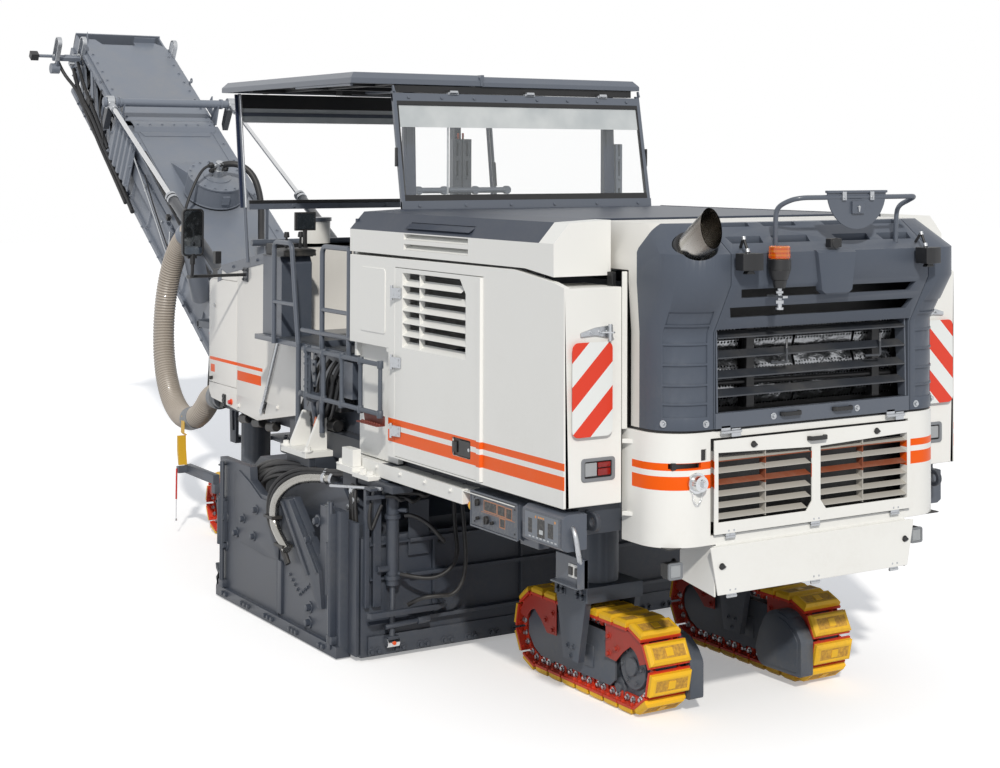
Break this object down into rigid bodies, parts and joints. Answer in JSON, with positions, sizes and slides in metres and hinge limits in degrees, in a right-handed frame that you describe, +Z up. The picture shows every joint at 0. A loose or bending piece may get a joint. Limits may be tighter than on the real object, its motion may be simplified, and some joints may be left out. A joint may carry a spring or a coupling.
{
  "type": "cold planer milling machine",
  "caption": "Road cold planer on steered tracks, with a milling drum under the body, an operator canopy and a slewing, luffing front discharge conveyor.",
  "frame": {"origin": "on the ground under the middle of the machine's overall length and width", "axes": "+X forward towards the discharge conveyor, +Y to the driver's left, +Z up"},
  "size_m": [13.8501, 3.68, 4.9912],
  "materials": {
    "white_paint": "gloss",
    "grey_paint": "satin",
    "conveyor_paint": "satin",
    "dark_steel": "satin",
    "black_plastic": "matte",
    "grey_plastic": "satin",
    "track_pads": "satin",
    "belt_rubber": "matte",
    "hose_plastic": "satin",
    "chrome": "gloss",
    "board": "gloss",
    "pane": "gloss",
    "engine_block": "matte"
  },
  "bodies": {
    "machine": {"chassis": "white_paint", "lashing_eyes": "grey_paint", "body_shell": "white_paint", "engine": "engine_block", "radiator": "dark_steel", "drum_housing": "grey_paint", "lift_cylinders": "grey_paint", "operator_platform": "grey_paint", "handrails": "grey_paint", "operator_stations": "black_plastic", "front_body": "white_paint", "loading_conveyor": "conveyor_paint", "hazard_boards": "board", "control_panels": "grey_paint", "work_lamps": "black_plastic", "suction_hose": "hose_plastic"},
    "hood": {"engine_hood": "grey_plastic", "hood_grille": "grey_plastic", "hood_fittings": "chrome"},
    "left_door": {"left_engine_door": "white_paint"},
    "right_door": {"right_engine_door": "white_paint"},
    "upper_flap": {"louvred_flap": "white_paint"},
    "lower_flap": {"bottom_flap": "white_paint"},
    "drum": {"milling_drum": "dark_steel"},
    "left_plate": {"left_side_plate": "grey_paint"},
    "right_plate": {"right_side_plate": "grey_paint"},
    "scraper": {"scraper_blade": "grey_paint"},
    "front_left_crawler": {"front_left_leg": "grey_paint", "front_left_track": "track_pads"},
    "front_right_crawler": {"front_right_leg": "grey_paint", "front_right_track": "track_pads"},
    "rear_left_crawler": {"rear_left_leg": "grey_paint", "rear_left_track": "track_pads"},
    "rear_right_crawler": {"rear_right_leg": "grey_paint", "rear_right_track": "track_pads"},
    "ladder_left": {"left_ladder": "grey_paint"},
    "ladder_right": {"right_ladder": "grey_paint"},
    "canopy": {"canopy_roof": "grey_plastic", "canopy_frame": "grey_paint", "canopy_screens": "pane"},
    "slew": {"slew_frame": "conveyor_paint"},
    "barrels": {"luff_barrels": "conveyor_paint"},
    "rods": {"luff_rods": "chrome"},
    "discharge_conveyor": {"conveyor_frame": "conveyor_paint", "conveyor_belt": "belt_rubber"}
  },
  "joints": [
    {"name": "drum_spin", "type": "hinge", "parent": "machine", "child": "drum", "pos_m": [-2.47, 0, 0.56], "axis": [0, 1, 0], "continuous": true},
    {"name": "hood_lift", "type": "hinge", "parent": "machine", "child": "hood", "pos_m": [-5.74, 0, 3.03], "axis": [0, 1, 0], "range_deg": [0, 50]},
    {"name": "left_door_swing", "type": "hinge", "parent": "machine", "child": "left_door", "pos_m": [-3.987, 1.584, 2.087], "axis": [0, 0, -1], "range_deg": [0, 95]},
    {"name": "right_door_swing", "type": "hinge", "parent": "machine", "child": "right_door", "pos_m": [-3.987, -1.584, 2.087], "axis": [0, 0, 1], "range_deg": [0, 95]},
    {"name": "upper_flap_drop", "type": "hinge", "parent": "machine", "child": "upper_flap", "pos_m": [-6.598, 0, 1.24], "axis": [0, -1, 0], "range_deg": [0, 95]},
    {"name": "lower_flap_drop", "type": "hinge", "parent": "machine", "child": "lower_flap", "pos_m": [-6.598, 0, 0.89], "axis": [0, -1, 0], "range_deg": [0, 95]},
    {"name": "left_plate_lift", "type": "slide", "parent": "machine", "child": "left_plate", "axis": [0, 0, -1], "range_m": [-0.3, 0]},
    {"name": "right_plate_lift", "type": "slide", "parent": "machine", "child": "right_plate", "axis": [0, 0, -1], "range_m": [-0.3, 0]},
    {"name": "scraper_lift", "type": "slide", "parent": "machine", "child": "scraper", "axis": [0, 0, 1], "range_m": [0, 0.33]},
    {"name": "front_left_steer", "type": "hinge", "parent": "machine", "child": "front_left_crawler", "pos_m": [0.31, 0.8, 1], "axis": [0, 0, 1], "range_deg": [-20, 20]},
    {"name": "front_right_steer", "type": "hinge", "parent": "machine", "child": "front_right_crawler", "pos_m": [0.31, -0.8, 1], "axis": [0, 0, 1], "range_deg": [-20, 20]},
    {"name": "rear_left_steer", "type": "hinge", "parent": "machine", "child": "rear_left_crawler", "pos_m": [-5.17, 0.655, 1], "axis": [0, 0, 1], "range_deg": [-15, 15]},
    {"name": "rear_right_steer", "type": "hinge", "parent": "machine", "child": "rear_right_crawler", "pos_m": [-5.17, -0.655, 1], "axis": [0, 0, 1], "range_deg": [-15, 15]},
    {"name": "left_ladder_fold", "type": "hinge", "parent": "machine", "child": "ladder_left", "pos_m": [-2.59, 1.62, 1.72], "axis": [0, -0.9397, -0.342], "range_deg": [0, 90]},
    {"name": "right_ladder_fold", "type": "hinge", "parent": "machine", "child": "ladder_right", "pos_m": [-2.59, -1.62, 1.72], "axis": [0, -0.9397, 0.342], "range_deg": [0, 90]},
    {"name": "canopy_lower", "type": "slide", "parent": "machine", "child": "canopy", "axis": [0, 0, 1], "range_m": [-0.85, 0]},
    {"name": "conveyor_slew", "type": "hinge", "parent": "machine", "child": "slew", "pos_m": [0.87, 0, 0.76], "axis": [0, 0, 1], "range_deg": [-50, 50], "deforming": ["suction_hose"]},
    {"name": "conveyor_luff", "type": "hinge", "parent": "slew", "child": "discharge_conveyor", "pos_m": [1.27, 0, 1.476], "axis": [0, -1, 0], "range_deg": [-20, 4], "deforming": ["suction_hose"]},
    {"name": "luff_barrel_swing", "type": "hinge", "parent": "slew", "child": "barrels", "pos_m": [1.29, 0, 2.3], "axis": [0, -1, 0], "range_deg": [-24, 6]},
    {"name": "luff_rod_slide", "type": "slide", "parent": "barrels", "child": "rods", "axis": [0.8899, 0, 0.4562], "range_m": [-0.1, 0.45]}
  ],
  "couplings": [
    {"joint": "front_right_steer", "follows": "front_left_steer", "ratio": 1},
    {"joint": "rear_right_steer", "follows": "rear_left_steer", "ratio": 1},
    {"joint": "luff_barrel_swing", "follows": "conveyor_luff", "ratio": 1.0617},
    {"joint": "luff_rod_slide", "follows": "conveyor_luff", "m_per_rad": -0.7804}
  ]
}
